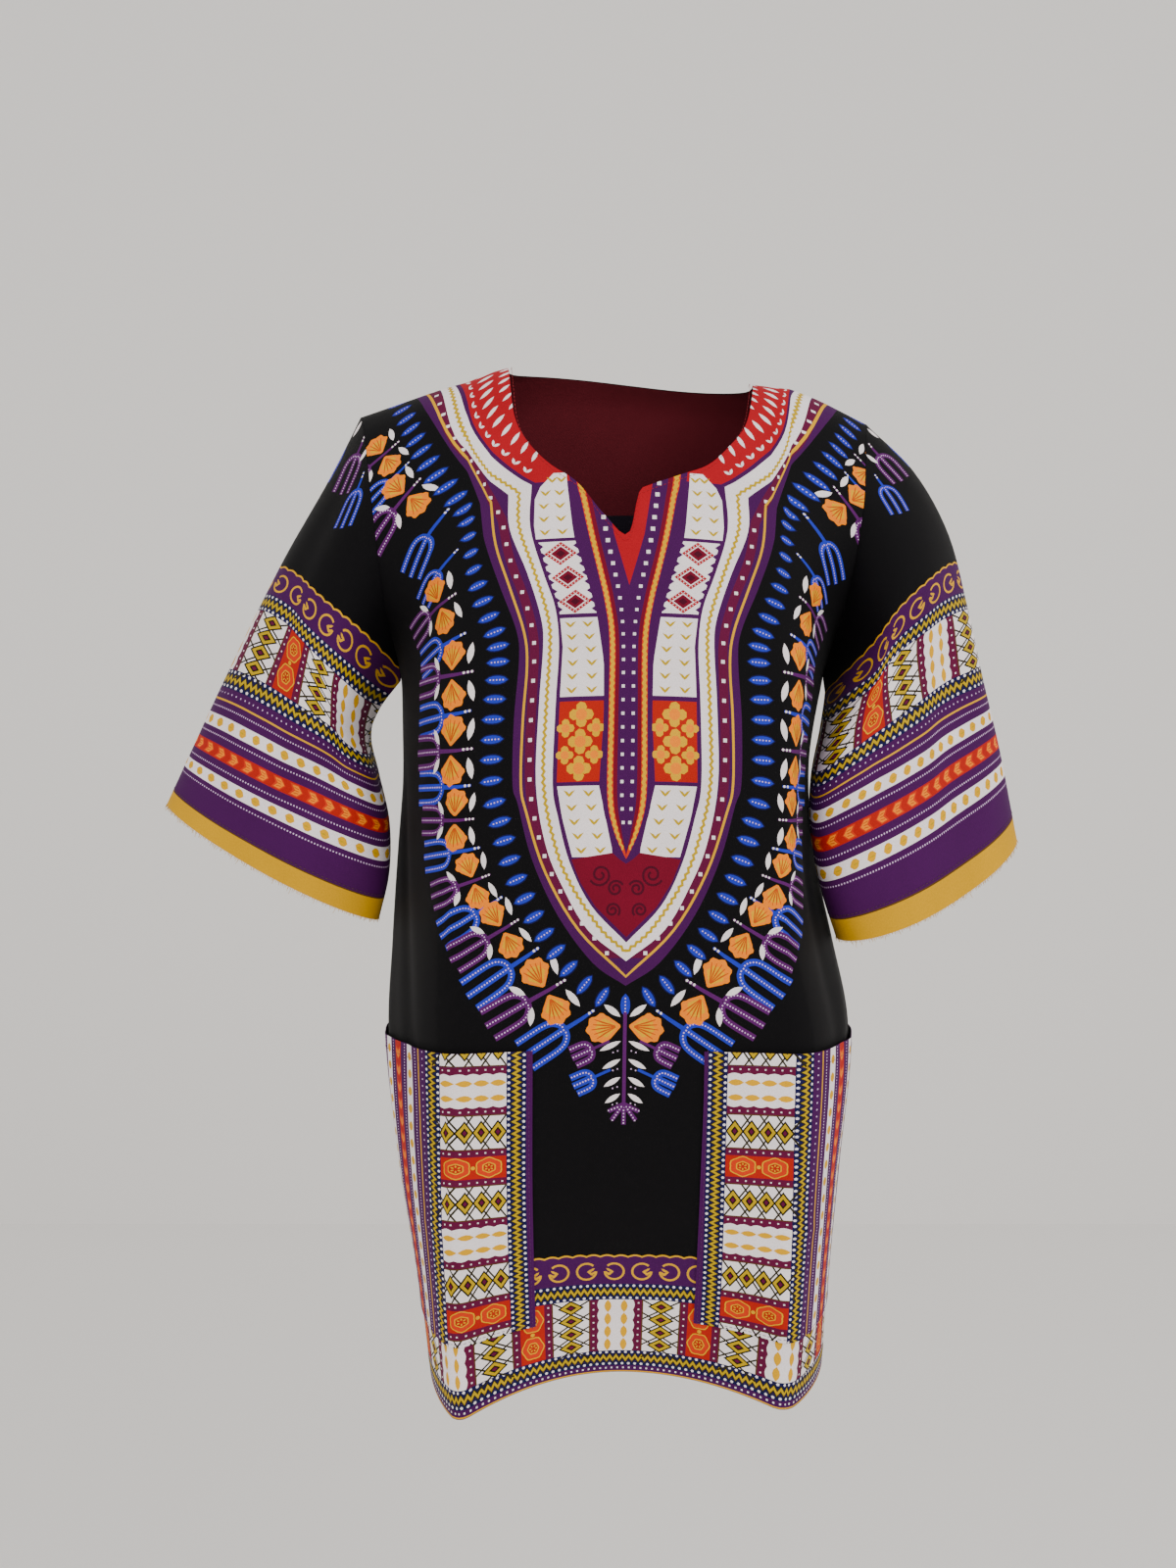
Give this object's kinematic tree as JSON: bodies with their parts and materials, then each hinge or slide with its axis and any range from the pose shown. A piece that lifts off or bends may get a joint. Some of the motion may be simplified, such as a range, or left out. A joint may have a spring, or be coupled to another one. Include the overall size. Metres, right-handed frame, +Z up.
{
  "type": "dashiki tunic",
  "caption": "Loose dashiki tunic in its worn form: open V-notched neck, wide short sleeves, hem arched between pressed folds, patch pockets wrapped round them, bright border print.",
  "frame": {"origin": "midway between the two high shoulder points, at the top of the shoulders, where the wearer carries the garment", "axes": "+Z up, -Y the front, +X towards the sleeve on the viewer's right"},
  "size_m": [0.629, 0.2415, 0.7326],
  "materials": {
    "body_print": "matte printed cotton, black ground",
    "sleeve_print": "matte printed cotton, banded border",
    "pocket_print": "matte printed cotton, border turned upright"
  },
  "bodies": {
    "root": {"front": "body_print", "back": "body_print", "sleeve_left": "sleeve_print", "sleeve_right": "sleeve_print", "pocket_left": "pocket_print", "pocket_right": "pocket_print"}
  },
  "joints": []
}
